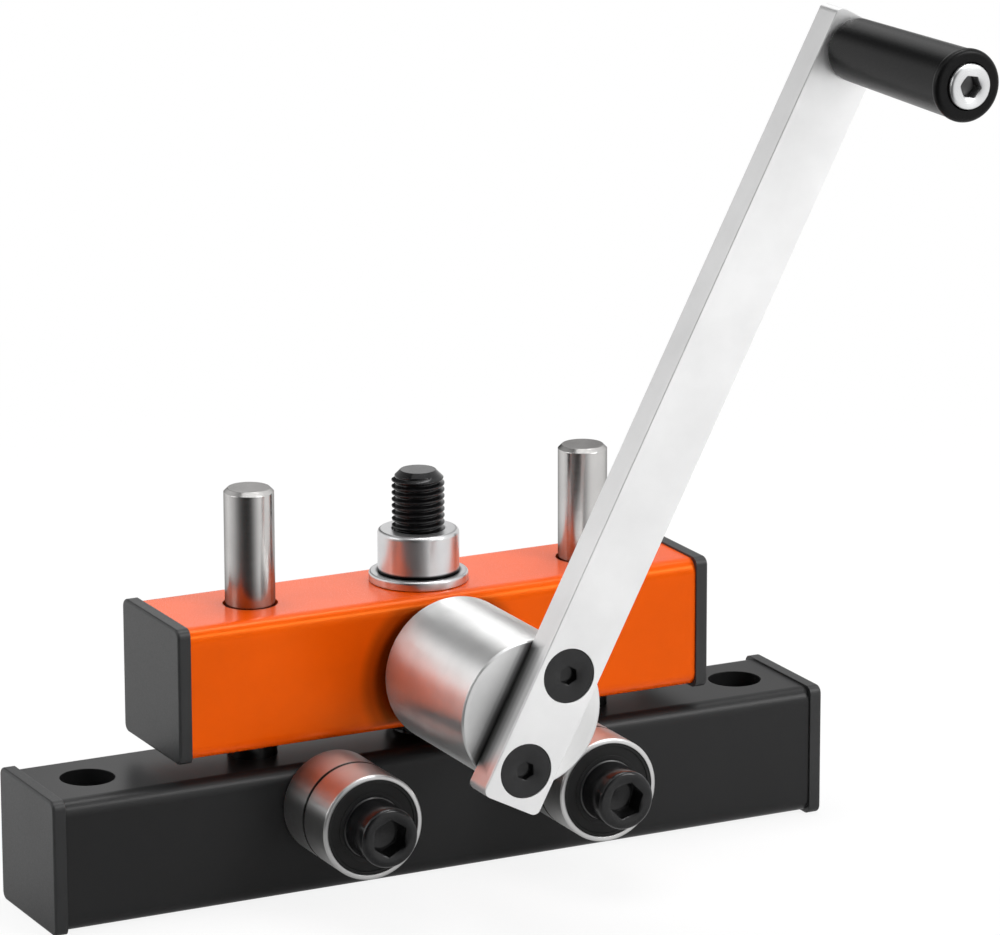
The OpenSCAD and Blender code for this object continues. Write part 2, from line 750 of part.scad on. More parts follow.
module crank_arm() {
    arm_l = arm_tail + crank_r + arm_tip;
    arm_mid = (crank_r + arm_tip - arm_tail) / 2;
    sink = arm_screw_sink + arm_screw_land;
    color(satin_aluminium) difference() {
        on_crank(arm_mid, 0) intersection() {
            linear_extrude(arm_t) round_rect(arm_w, arm_l, arm_corner_r);
            translate([0, 0, arm_t / 2]) rotate([90, 0, 0])
                linear_extrude(arm_l, center = true) round_rect(arm_w, arm_t, arm_edge_r);
        }
        for (side = [-1, 1]) on_crank(side * arm_screw_spacing / 2, 0) {
            translate([0, 0, -over]) cylinder(d = arm_screw_d + 2 * bolt_hole_play, h = arm_t + 2 * over);
            translate([0, 0, arm_t - sink - arm_screw_cone_h - seat_gap])
                cylinder(r1 = arm_screw_r, r2 = arm_screw_head_d / 2, h = arm_screw_cone_h);
            translate([0, 0, arm_t - sink - seat_gap])
                cylinder(d = arm_screw_head_d + 2 * seat_gap, h = sink + over);
        }
        on_crank(crank_r, -over) cylinder(d = grip_bolt_d, h = arm_t + 2 * over);
    }
}

// Countersunk screws that hold the arm on the roller
module arm_screws() {
    socket_h = arm_screw_cone_h / 2 + arm_screw_land;
    color(black_oxide) for (side = [-1, 1])
        on_crank(side * arm_screw_spacing / 2, arm_t - arm_screw_sink) difference() {
            rotate_extrude() polygon([
                [0, 0], [arm_screw_head_d / 2, 0], [arm_screw_head_d / 2, -arm_screw_land],
                [arm_screw_r - screw_slack, -arm_screw_land - arm_screw_cone_h - screw_slack],
                [arm_screw_r - screw_slack, -arm_screw_l], [0, -arm_screw_l]
            ]);
            translate([0, 0, -socket_h]) rotate([0, 0, arm_socket_turn + crank_lean])
                hex_prism(arm_screw_af, socket_h + over);
        }
}

// Bush that the grip bolt clamps against the arm
module grip_bush() {
    color(bright_zinc) on_crank(crank_r, arm_t)
        flat_ring(grip_bush_d, grip_bolt_d, grip_bolt_seat, 0);
}

module grip_bolt() {
    color(bright_zinc) on_crank(crank_r, arm_t + grip_bolt_seat)
        socket_screw(grip_bolt_d, grip_bolt_l, grip_head_d, grip_head_h, grip_socket_af, tip_chamfer);
}

// Turning grip: a slightly tapered sleeve, round at the arm and rimmed at its outer end
module crank_grip() {
    back_r = grip_back_d / 2;
    rim_r = grip_rim_d / 2;
    rim_z = grip_l - grip_rim_l;
    color(grip_black) on_crank(crank_r, arm_t + grip_gap) rotate_extrude() difference() {
        union() {
            polygon([[0, grip_edge_r], [back_r, grip_edge_r], [grip_front_d / 2, rim_z + grip_rim_r],
                [0, rim_z + grip_rim_r]]);
            square([back_r - grip_edge_r, grip_edge_r]);
            intersection() {
                translate([back_r - grip_edge_r, grip_edge_r]) circle(grip_edge_r);
                square([back_r, grip_l]);
            }
            translate([0, rim_z]) square([rim_r - grip_rim_r, grip_rim_l]);
            translate([0, rim_z + grip_rim_r]) square([rim_r, grip_rim_l - 2 * grip_rim_r]);
            for (z = [rim_z + grip_rim_r, grip_l - grip_rim_r])
                translate([rim_r - grip_rim_r, z]) circle(grip_rim_r);
        }
        translate([0, -over]) square([grip_bush_d / 2 + running_gap, grip_l + 2 * over]);
        translate([0, grip_l - grip_recess_h]) square([grip_recess_d / 2, grip_recess_h + over]);
    }
}

lower_beam();
lower_cap_left();
lower_cap_right();
upper_beam();
upper_cap_left();
upper_cap_right();
guide_pin_left();
guide_pin_right();
clamp_bolt();
clamp_nut();
clamp_washer();
lift_spring();
support_bolt_left();
support_bolt_right();
support_bolt_washers();
support_bolt_nuts();
support_shims();
left_rear_outer_ring();
left_rear_inner_ring();
left_rear_ball_set();
left_rear_seals();
left_front_outer_ring();
left_front_inner_ring();
left_front_ball_set();
left_front_seals();
right_rear_outer_ring();
right_rear_inner_ring();
right_rear_ball_set();
right_rear_seals();
right_front_outer_ring();
right_front_inner_ring();
right_front_ball_set();
right_front_seals();
drive_drum();
drum_circlip();
drive_rear_outer_ring();
drive_rear_inner_ring();
drive_rear_ball_set();
drive_rear_seals();
drive_front_outer_ring();
drive_front_inner_ring();
drive_front_ball_set();
drive_front_seals();
axle_screw();
axle_spacer();
axle_boss();
crank_arm();
arm_screws();
grip_bush();
grip_bolt();
crank_grip();
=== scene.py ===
import json
import math

import bmesh
import bpy
from mathutils import Matrix, Vector


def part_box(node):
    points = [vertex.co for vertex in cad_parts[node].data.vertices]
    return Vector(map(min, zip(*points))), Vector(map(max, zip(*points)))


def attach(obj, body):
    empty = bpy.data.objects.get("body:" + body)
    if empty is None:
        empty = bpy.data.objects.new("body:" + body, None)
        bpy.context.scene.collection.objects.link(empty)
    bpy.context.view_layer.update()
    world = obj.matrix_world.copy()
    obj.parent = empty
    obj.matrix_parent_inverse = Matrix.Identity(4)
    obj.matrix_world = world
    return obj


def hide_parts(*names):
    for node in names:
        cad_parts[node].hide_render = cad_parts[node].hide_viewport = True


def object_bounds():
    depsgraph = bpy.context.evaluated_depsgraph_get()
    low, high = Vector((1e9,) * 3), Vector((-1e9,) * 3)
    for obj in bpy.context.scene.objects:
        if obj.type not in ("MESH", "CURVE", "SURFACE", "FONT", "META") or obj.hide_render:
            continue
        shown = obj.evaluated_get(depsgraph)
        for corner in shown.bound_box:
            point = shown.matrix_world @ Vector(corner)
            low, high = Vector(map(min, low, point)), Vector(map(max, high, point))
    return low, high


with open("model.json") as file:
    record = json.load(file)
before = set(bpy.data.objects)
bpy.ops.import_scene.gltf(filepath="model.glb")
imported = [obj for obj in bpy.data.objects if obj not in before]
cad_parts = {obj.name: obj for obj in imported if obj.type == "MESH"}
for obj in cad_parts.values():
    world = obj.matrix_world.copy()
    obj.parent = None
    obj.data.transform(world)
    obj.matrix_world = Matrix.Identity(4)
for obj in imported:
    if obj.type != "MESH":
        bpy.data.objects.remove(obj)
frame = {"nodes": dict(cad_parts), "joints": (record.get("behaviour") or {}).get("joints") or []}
cad_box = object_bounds()
nodes = frame["nodes"]


# Sizes read from the frame, in metres, and the crank's lean

def face(node, corner, axis):
    """Where a CAD node ends along an axis: at its lowest corner (0) or its highest (1)."""
    return round(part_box(node)[corner]["xyz".index(axis)], 6)


def axis_place(joint):
    """Where a joint's axis crosses the XZ plane."""
    x, y, z = next(j["pos_m"] for j in frame["joints"] if j["name"] == joint)
    return x, z


BEAM_TOP = face("lower_beam", 1, "z")
UPPER_BOTTOM = face("upper_beam", 0, "z")
UPPER_TOP = face("upper_beam", 1, "z")
UPPER_FRONT_Y = face("upper_beam", 0, "y")
WASHER_TOP = face("clamp_washer", 1, "z")
CLAMP_TIP = face("clamp_bolt", 1, "z")
RIGHT_X, SUPPORT_Z = axis_place("right_front_roll")
LEFT_X = axis_place("left_front_roll")[0]
SUPPORT_HEAD_Y = face("left_front_outer_ring", 0, "y")
SUPPORT_END_Y = face("support_bolt_left", 1, "y")
GROOVE_Y = (face("left_rear_outer_ring", 0, "y") + face("left_front_outer_ring", 1, "y")) / 2
DRIVE_Z = axis_place("crank_turn")[1]
ROLLER_FACE_Y = face("drive_drum", 0, "y")
ARM_T = ROLLER_FACE_Y - face("crank_arm", 0, "y")
GRIP_X, GRIP_Z = axis_place("grip_turn")
GRIP_BOLT_FACE_Y = face("grip_bolt", 0, "y")
GRIP_BOLT_END_Y = face("grip_bolt", 1, "y")
CRANK_R = round(math.hypot(GRIP_X, GRIP_Z - DRIVE_Z), 5)
LEAN_DEGREES = round(math.degrees(math.atan2(GRIP_X, GRIP_Z - DRIVE_Z)), 2)
LEAN = math.radians(LEAN_DEGREES)

# Sizes repeated from the part's source, in metres
TUBE_WALL = 0.005
PIN_X = 0.0555
ARM_W = 0.020


# Camera, fitted to the photograph: degrees, pixels and metres

CAMERA_YAW, CAMERA_PITCH, CAMERA_ROLL = 26.762, 14.751, -0.151
CAMERA_DISTANCE = 1.759315
FOCAL_PX = 5782.84
PHOTO_W_PX, PHOTO_H_PX = 1000, 935
ORIGIN_X_PX, ORIGIN_Y_PX = 420.324, 852.437
SENSOR_W_MM = 36


def sight_line():
    """Direction in which the camera looks."""
    yaw, pitch = math.radians(CAMERA_YAW), math.radians(CAMERA_PITCH)
    return Vector((math.sin(yaw) * math.cos(pitch), math.cos(yaw) * math.cos(pitch), -math.sin(pitch)))


def aim_camera():
    yaw, roll = math.radians(CAMERA_YAW), math.radians(CAMERA_ROLL)
    ahead = sight_line()
    level = Vector((math.cos(yaw), -math.sin(yaw), 0))
    above = level.cross(ahead)
    right = math.cos(roll) * level + math.sin(roll) * above
    up = -math.sin(roll) * level + math.cos(roll) * above
    data = bpy.data.cameras.new("photo_camera")
    data.sensor_fit = "HORIZONTAL"
    data.sensor_width = SENSOR_W_MM
    data.lens = FOCAL_PX * SENSOR_W_MM / PHOTO_W_PX
    data.clip_start, data.clip_end = 0.1, 50
    camera = bpy.data.objects.new("photo_camera", data)
    origin_right = (ORIGIN_X_PX - PHOTO_W_PX / 2) / FOCAL_PX
    origin_down = (ORIGIN_Y_PX - PHOTO_H_PX / 2) / FOCAL_PX
    place = -(ahead + right * origin_right - up * origin_down) * CAMERA_DISTANCE
    turn = Matrix((right, up, -ahead)).transposed().to_4x4()
    camera.matrix_world = Matrix.Translation(place) @ turn
    bpy.context.scene.collection.objects.link(camera)
    bpy.context.scene.camera = camera


# Node helpers

# Most of a noise lies between these two values
NOISE_LOW, NOISE_HIGH = 0.3, 0.7
BEVEL_SAMPLES = 6


def grey(level):
    return level, level, level


def tint(colour, share):
    return tuple(min(1.0, c * share) for c in colour)


def seen_by_viewer(tree):
    """1 for a ray from the camera, and for one that metal or glass sends on, otherwise 0."""
    path = tree.nodes.new("ShaderNodeLightPath")
    seen = path.outputs["Is Camera Ray"]
    for ray in ("Is Glossy Ray", "Is Transmission Ray"):
        either = tree.nodes.new("ShaderNodeMath")
        either.operation = "MAXIMUM"
        tree.links.new(seen, either.inputs[0])
        tree.links.new(path.outputs[ray], either.inputs[1])
        seen = either.outputs[0]
    return seen


class Nodes:
    """Small helper around one material's node tree."""

    def __init__(self, name):
        self.material = bpy.data.materials.new(name)
        self.material.use_nodes = True
        self.tree = self.material.node_tree
        self.shader = self.tree.nodes["Principled BSDF"]
        self.coords = self.add("ShaderNodeTexCoord").outputs["Object"]

    def add(self, kind, **values):
        node = self.tree.nodes.new(kind)
        for key, value in values.items():
            setattr(node, key, value)
        return node

    def link(self, source, target):
        self.tree.links.new(source, target)

    def set(self, **values):
        """Sets the shader's own sockets, whose names have _ here for a space."""
        for key, value in values.items():
            self.shader.inputs[key.replace("_", " ")].default_value = value

    def maths(self, operation, a, b=None):
        node = self.add("ShaderNodeMath", operation=operation)
        for socket, value in zip(node.inputs, (a, b)):
            if value is None:
                continue
            if isinstance(value, (int, float)):
                socket.default_value = value
            else:
                self.link(value, socket)
        return node.outputs[0]

    def larger(self, a, b):
        return self.maths("MAXIMUM", a, b)

    def length(self, a, b):
        squares = self.maths("ADD", self.maths("MULTIPLY", a, a), self.maths("MULTIPLY", b, b))
        return self.maths("SQRT", squares)

    def axes(self):
        split = self.add("ShaderNodeSeparateXYZ")
        self.link(self.coords, split.inputs[0])
        return split.outputs

    def stretched(self, scale, rotation):
        """Coordinates turned and scaled by axis, for brush marks along one direction."""
        node = self.add("ShaderNodeMapping")
        node.inputs["Rotation"].default_value = rotation
        node.inputs["Scale"].default_value = scale
        self.link(self.coords, node.inputs["Vector"])
        return node.outputs["Vector"]

    def turned(self, axis, centre):
        """Coordinates that run across lathe marks round an axis: radius and height along it."""
        x, y, z = self.axes()
        a, b, along = (x, z, y) if axis == "y" else (x, y, z)
        a = self.maths("SUBTRACT", a, centre[0])
        b = self.maths("SUBTRACT", b, centre[1])
        join = self.add("ShaderNodeCombineXYZ")
        self.link(self.length(a, b), join.inputs[0])
        self.link(along, join.inputs[1])
        return join.outputs[0]

    def noise(self, vector, scale, detail, roughness=0.55):
        node = self.add("ShaderNodeTexNoise")
        node.inputs["Scale"].default_value = scale
        node.inputs["Detail"].default_value = detail
        node.inputs["Roughness"].default_value = roughness
        self.link(vector, node.inputs["Vector"])
        return node.outputs["Fac"]

    def base_colour(self, noise, colour, low, high):
        """Lets a noise vary the base colour between two shares of one colour."""
        node = self.add("ShaderNodeValToRGB")
        elements = node.color_ramp.elements
        for element, place, share in zip(elements, (NOISE_LOW, NOISE_HIGH), (low, high)):
            element.position = place
            element.color = (*tint(colour, share), 1)
        self.link(noise, node.inputs["Fac"])
        self.link(node.outputs["Color"], self.shader.inputs["Base Color"])

    def roughness(self, noise, low, high):
        """Lets a noise vary the roughness between two values."""
        node = self.add("ShaderNodeMapRange")
        node.inputs["From Min"].default_value = NOISE_LOW
        node.inputs["From Max"].default_value = NOISE_HIGH
        node.inputs["To Min"].default_value = low
        node.inputs["To Max"].default_value = high
        self.link(noise, node.inputs["Value"])
        self.link(node.outputs["Result"], self.shader.inputs["Roughness"])

    def relief(self, heights, edge):
        """Bumps from (height, strength, depth) over an edge that the bevel node softens."""
        soft = self.add("ShaderNodeBevel", samples=BEVEL_SAMPLES)
        soft.inputs["Radius"].default_value = edge
        normal = soft.outputs["Normal"]
        for height, strength, depth in heights:
            bump = self.add("ShaderNodeBump")
            bump.inputs["Strength"].default_value = strength
            bump.inputs["Distance"].default_value = depth
            self.link(height, bump.inputs["Height"])
            self.link(normal, bump.inputs["Normal"])
            normal = bump.outputs["Normal"]
        self.link(normal, self.shader.inputs["Normal"])

    def ramp(self, value, stops):
        """Smooth run of factors over a length in metres, from (length, factor) stops."""
        node = self.add("ShaderNodeValToRGB")
        node.color_ramp.interpolation = "EASE"
        elements = node.color_ramp.elements
        low, high = stops[0][0], stops[-1][0]
        while len(elements) < len(stops):
            elements.new(0.5)
        for element, (length, factor) in zip(elements, stops):
            element.position = (length - low) / (high - low)
            element.color = (*grey(factor), 1)
        span = self.add("ShaderNodeMapRange")
        span.inputs["From Min"].default_value = low
        span.inputs["From Max"].default_value = high
        self.link(value, span.inputs["Value"])
        self.link(span.outputs["Result"], node.inputs["Fac"])
        return node.outputs["Color"]

    def darken(self, factor):
        """Multiplies what feeds the base colour by a grey factor."""
        base = self.shader.inputs["Base Color"]
        source = base.links[0].from_socket
        mix = self.add("ShaderNodeMix", data_type="RGBA", blend_type="MULTIPLY")
        mix.inputs["Factor"].default_value = 1.0
        self.link(source, mix.inputs["A"])
        self.link(factor, mix.inputs["B"])
        self.link(mix.outputs["Result"], base)


# Kinds of material, with noise scales in cycles a metre and depths in metres

def powder_coat(name, colour, roughness, gloss, sheen, shade=None):
    m = Nodes(name)
    patch = m.noise(m.coords, scale=35, detail=3)
    peel = m.noise(m.coords, scale=900, detail=2, roughness=0.4)
    grain = m.noise(m.coords, scale=5200, detail=2)
    m.base_colour(patch, colour, 0.94, 1.05)
    m.roughness(grain, roughness - 0.04, roughness + 0.05)
    m.relief([(peel, 0.25, 0.00004), (grain, 0.15, 0.00001)], edge=0.0004)
    m.set(Metallic=0.0, Specular_IOR_Level=gloss, Specular_Tint=(*sheen, 1))
    if shade:
        shade(m)
    return m.material


def plastic(name, colour, roughness, gloss, grain_scale, depth):
    m = Nodes(name)
    patch = m.noise(m.coords, scale=60, detail=4)
    grain = m.noise(m.coords, scale=grain_scale, detail=3, roughness=0.6)
    m.base_colour(patch, colour, 0.88, 1.12)
    m.roughness(grain, roughness - 0.05, roughness + 0.06)
    m.relief([(grain, 0.35, depth)], edge=0.0003)
    m.set(Metallic=0.0, Specular_IOR_Level=gloss)
    return m.material


def brushed_metal(name, colour, roughness, metal, marks, rotation, edge, shade):
    m = Nodes(name)
    lines = m.noise(m.stretched(marks, rotation), scale=1, detail=3, roughness=0.7)
    patch = m.noise(m.coords, scale=45, detail=4)
    m.base_colour(patch, colour, 0.95, 1.04)
    m.roughness(lines, roughness - 0.05, roughness + 0.07)
    m.relief([(lines, 0.3, 0.000004)], edge)
    m.set(Metallic=metal)
    shade(m)
    return m.material


def turned_metal(name, colour, roughness, axis, centre, pitch=9000, depth=0.000001, edge=0.0003,
                 stretch=0.75, rim=1.0, vary=0.06, shade=None):
    """Metal with lathe marks round an axis, across which its reflections stretch.

    The grey rim tints its grazing reflections, and vary is how much its roughness differs by mark.
    """
    m = Nodes(name)
    across = m.turned(axis, centre)
    lines = m.noise(across, scale=pitch, detail=3, roughness=0.75)
    bands = m.noise(across, scale=pitch / 5, detail=2)
    patch = m.noise(m.coords, scale=70, detail=4)
    marks = m.maths("MULTIPLY", m.maths("ADD", lines, bands), 0.5)
    m.base_colour(patch, colour, 0.93, 1.05)
    m.roughness(marks, roughness - vary, roughness + vary)
    m.relief([(lines, 0.25, depth)], edge)
    tangent = m.add("ShaderNodeTangent", direction_type="RADIAL", axis=axis.upper())
    m.link(tangent.outputs[0], m.shader.inputs["Tangent"])
    m.set(Metallic=1.0, Specular_Tint=(*grey(rim), 1), Anisotropic=stretch, Anisotropic_Rotation=0.25)
    if shade:
        shade(m)
    return m.material


def oxide_metal(name, colour, roughness):
    m = Nodes(name)
    patch = m.noise(m.coords, scale=260, detail=5, roughness=0.65)
    grain = m.noise(m.coords, scale=4200, detail=3)
    m.base_colour(patch, colour, 0.7, 1.45)
    m.roughness(patch, roughness - 0.07, roughness + 0.09)
    m.relief([(grain, 0.3, 0.000012)], edge=0.0003)
    m.set(Metallic=0.3)
    return m.material


def rubber(name, colour, roughness, axis, centre):
    m = Nodes(name)
    rings = m.noise(m.turned(axis, centre), scale=1500, detail=2)
    grain = m.noise(m.coords, scale=3600, detail=3)
    m.base_colour(rings, colour, 0.85, 1.2)
    m.roughness(grain, roughness - 0.05, roughness + 0.07)
    m.relief([(rings, 0.2, 0.00001), (grain, 0.25, 0.000012)], edge=0.0002)
    m.set(Metallic=0.0, Specular_IOR_Level=0.14)
    return m.material


# Painted shade in corners, gaps and recesses, as factors on the base colour over lengths in metres

ALONG_ARM = math.sin(LEAN), math.cos(LEAN)
ACROSS_ARM = math.cos(LEAN), -math.sin(LEAN)


def from_roller(m, x, z, direction):
    """Distance from the drive roller's axis along a direction in the XZ plane."""
    up = m.maths("SUBTRACT", z, DRIVE_Z)
    return m.maths("ADD", m.maths("MULTIPLY", x, direction[0]), m.maths("MULTIPLY", up, direction[1]))


def round_roller(m, x, z):
    """Radius from the drive roller's axis."""
    return m.length(x, m.maths("SUBTRACT", z, DRIVE_Z))


def arm_shade(m):
    """Painted shade: dark corner where the arm stands on the roller, darker narrow side and lower end."""
    x, y, z = m.axes()
    height = m.maths("SUBTRACT", ROLLER_FACE_Y, y)
    corner = m.ramp(height, [(0, 0.12), (0.002, 0.2), (0.004, 0.4), (0.006, 0.68), (0.0078, 1)])
    past_roller = m.ramp(round_roller(m, x, z), [(0.0195, 0), (0.0235, 1)])
    m.darken(m.larger(corner, past_roller))
    # Painted shade: the narrow side and the lower end darker, as light falls on them
    across = from_roller(m, x, z, ACROSS_ARM)
    along = from_roller(m, x, z, ALONG_ARM)
    side = m.ramp(along, [(0.02, 0.95), (0.12, 0.76), (CRANK_R, 0.72)])
    off_side = m.ramp(across, [(-ARM_W / 2 - 0.0001, 0), (-ARM_W / 2 + 0.0003, 1)])
    m.darken(m.larger(side, off_side))
    m.darken(m.ramp(along, [(0.03, 0.9), (CRANK_R, 1)]))


def roller_shade(m):
    """Painted shade in the corner on the roller's front face, on both sides of the arm."""
    x, y, z = m.axes()
    off_middle = m.maths("ABSOLUTE", from_roller(m, x, z, ACROSS_ARM))
    beside_arm = m.maths("SUBTRACT", off_middle, ARM_W / 2)
    corner = m.ramp(beside_arm, [(0, 0.12), (0.0012, 0.31), (0.0024, 0.72), (0.0036, 1)])
    height = m.maths("SUBTRACT", ROLLER_FACE_Y, y)
    off_face = m.ramp(height, [(-0.0006, 0.96), (-0.0001, 0)])
    m.darken(m.larger(corner, off_face))


def beam_shade(m):
    """Painted shadow of the drive roller: a soft dark rim on the upper beam's front face, more to its
    lower left.
    """
    shift_left, shift_down = 0.0015, 0.002
    x, y, z = m.axes()
    radius = round_roller(m, m.maths("ADD", x, shift_left), m.maths("ADD", z, shift_down))
    rim = m.ramp(radius, [(0.0215, 0.2), (0.0245, 0.55), (0.029, 1)])
    off_front = m.ramp(y, [(UPPER_FRONT_Y - 0.0001, 0), (UPPER_FRONT_Y + 0.0008, 1)])
    m.darken(m.larger(rim, off_front))


def clamp_shade(m):
    """Painted shade in the gap between the nut's foot and its washer."""
    x, y, z = m.axes()
    gap = m.ramp(z, [(WASHER_TOP - 0.0004, 1), (WASHER_TOP - 0.0001, 0.03),
                     (WASHER_TOP + 0.0007, 0.03), (WASHER_TOP + 0.0014, 1)])
    past_nut = m.ramp(m.length(x, y), [(0.0124, 0), (0.0133, 1)])
    m.darken(m.larger(gap, past_nut))


def socket_shade(m):
    """Painted shade inside the grip bolt's socket."""
    x, y, z = m.axes()
    depth = m.maths("SUBTRACT", y, GRIP_BOLT_FACE_Y)
    m.darken(m.ramp(depth, [(0.0007, 1), (0.0016, 0.45), (0.0044, 0.2)]))


def pin_shade(m):
    """Painted shade on the foot of a guide pin, between the beams and just above the upper one."""
    x, y, z = m.axes()
    m.darken(m.ramp(z, [(BEAM_TOP, 0.12), (UPPER_BOTTOM, 0.2), (0.075, 0.55), (UPPER_TOP, 0.6), (0.1, 1)]))


def groove_shade(m):
    """Painted shade: a dark line where the two bearings of a support roller meet."""
    x, y, z = m.axes()
    distance = m.maths("ABSOLUTE", m.maths("SUBTRACT", y, GROOVE_Y))
    m.darken(m.ramp(distance, [(0.00042, 0.03), (0.00098, 1)]))


# Materials

WHITE = grey(1)
ZINC_COLOUR = (0.74, 0.745, 0.75)
# Cycles a metre across the arm, through it and along it
ARM_MARKS = (2600, 2600, 90)

BLACK = powder_coat("black_powder_coat", (0.0138, 0.0138, 0.0142), roughness=0.34, gloss=0.25,
                    sheen=WHITE)
ORANGE = powder_coat("orange_powder_coat", (0.81, 0.085, 0.0), roughness=0.24, gloss=0.74,
                     sheen=(1, 0.35, 0.05), shade=beam_shade)
CAP = plastic("grey_cap_plastic", (0.0225, 0.023, 0.0235), roughness=0.4, gloss=0.35,
              grain_scale=2600, depth=0.00002)
GRIP = plastic("black_grip_plastic", (0.004, 0.004, 0.0042), roughness=0.3, gloss=0.14,
               grain_scale=3800, depth=0.00001)
OXIDE = oxide_metal("black_oxide_steel", (0.009, 0.009, 0.0095), roughness=0.16)
SPRING = oxide_metal("dark_spring_steel", grey(0.05), roughness=0.3)
ZINC = turned_metal("bright_zinc", ZINC_COLOUR, 0.36, "z", (0, 0), pitch=2600, depth=0.000003,
                    edge=0.0004)
BOLT = turned_metal("bright_bolt_zinc", ZINC_COLOUR, 0.3, "y", (GRIP_X, GRIP_Z), pitch=2600,
                    depth=0.000003, shade=socket_shade)
CLAMP = turned_metal("clamp_zinc", (0.66, 0.66, 0.665), 0.3, "z", (0, 0), edge=0.0004, stretch=0.45,
                     rim=0.9, vary=0.02, shade=clamp_shade)
DRUM = turned_metal("turned_steel", (0.94, 0.94, 0.935), 0.37, "y", (0, DRIVE_Z), depth=0.000002,
                    stretch=0.85, rim=0.35, shade=roller_shade)
ARM = brushed_metal("satin_aluminium", grey(0.92), roughness=0.35, metal=0.75, marks=ARM_MARKS,
                    rotation=(0, -LEAN, 0), edge=0.00015, shade=arm_shade)


def pin_steel(side, x):
    return turned_metal(f"ground_pin_steel_{side}", (0.58, 0.57, 0.56), 0.22, "z", (x, 0), pitch=6000,
                        depth=0.000002, stretch=0.3, rim=0.4, shade=pin_shade)


def bearing_materials(side, x, z):
    """Steel of outer rings, a darker copy of that steel on the inner rings as painted shade, and seals,
    all turned round one axis.
    """
    steel = turned_metal(f"bearing_steel_{side}", (0.68, 0.675, 0.67), 0.29, "y", (x, z), edge=0.0005,
                         stretch=0.8, rim=0.6, vary=0.015, shade=groove_shade)
    # Painted shade: the inner rings get a much darker copy of the bearing steel
    race = turned_metal(f"painted_shade_inner_race_{side}", grey(0.16), 0.3, "y", (x, z), edge=0.0005)
    seal = rubber(f"seal_rubber_{side}", grey(0.017), 0.42, "y", (x, z))
    return steel, race, seal


def paint(material, *names):
    for name in names:
        slots = nodes[name].data.materials
        if not slots:
            slots.append(material)
        for i in range(len(slots)):
            slots[i] = material


# Mesh helpers

SHARP_ANGLE = 35
MERGE_DISTANCE = 0.0000005
# A thread leaves out faces that are no higher than this
NO_HEIGHT = 0.00000001


def piece(name, mesh, material, body):
    """Links a mesh made in the row frame, smooths all but its sharp edges, and lets it ride on a body."""
    obj = bpy.data.objects.new(name, mesh)
    bpy.context.scene.collection.objects.link(obj)
    mesh.materials.append(material)
    mesh.polygons.foreach_set("use_smooth", [True] * len(mesh.polygons))
    mesh.set_sharp_from_angle(angle=math.radians(SHARP_ANGLE))
    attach(obj, body)
    return obj


def mesh_from(name, bm, place=None):
    bmesh.ops.remove_doubles(bm, verts=bm.verts, dist=MERGE_DISTANCE)
    bmesh.ops.recalc_face_normals(bm, faces=bm.faces)
    if place is not None:
        bmesh.ops.transform(bm, matrix=place, verts=bm.verts)
    mesh = bpy.data.meshes.new(name)
    bm.to_mesh(mesh)
    bm.free()
    return mesh


def round_angles(count):
    """A full circle in equal steps, in radians."""
    return [2 * math.pi * k / count for k in range(count)]


def bridge(bm, low, high):
    """Faces between two rings of points, either of which may be a single point."""
    count = max(len(low), len(high))
    for k in range(count):
        n = (k + 1) % count
        corners = [low[k % len(low)], low[n % len(low)], high[n % len(high)], high[k % len(high)]]
        bm.faces.new(list(dict.fromkeys(corners)))


def add_rings(bm, rings, turns):
    """Adds a skin over rings round Z, each a function that gives radius and height at an angle."""
    made = []
    for point_at in rings:
        ring = []
        for a in round_angles(turns):
            r, z = point_at(a)
            ring.append(bm.verts.new((r * math.cos(a), r * math.sin(a), z)))
            if r == 0:
                break
        made.append(ring)
    for low, high in zip(made, made[1:]):
        bridge(bm, low, high)


def add_lathe(bm, profile, turns=96):
    """Adds a profile of (radius, height) points, turned round Z."""
    add_rings(bm, [lambda a, point=point: point for point in profile], turns)


def arc(cx, cz, r, start, end, steps=5):
    """Points of a fillet, angles in degrees."""
    angles = [math.radians(start + (end - start) * i / steps) for i in range(steps + 1)]
    return [(cx + r * math.cos(a), cz + r * math.sin(a)) for a in angles]


def add_socket(bm, across_flats, top, depth, rim_r, turn, turns=96):
    """Adds a head's flat top from rim_r inwards, a chamfered mouth, hexagon walls and a drill point."""
    mouth_r = across_flats / math.sqrt(3) * 1.045
    mouth_slope = 0.6
    drill_r = across_flats / 2 * 0.86
    drill_slope = 0.45
    floor = top - depth

    def hexagon_r(angle):
        off_flat = (math.degrees(angle) - turn) % 60 - 30
        return across_flats / 2 / math.cos(math.radians(off_flat))

    add_rings(bm, [lambda a: (rim_r, top),
                   lambda a: (mouth_r, top),
                   lambda a: (hexagon_r(a), top - (mouth_r - hexagon_r(a)) * mouth_slope),
                   lambda a: (hexagon_r(a), floor),
                   lambda a: (drill_r, floor),
                   lambda a: (0, floor - drill_r * drill_slope)], turns)


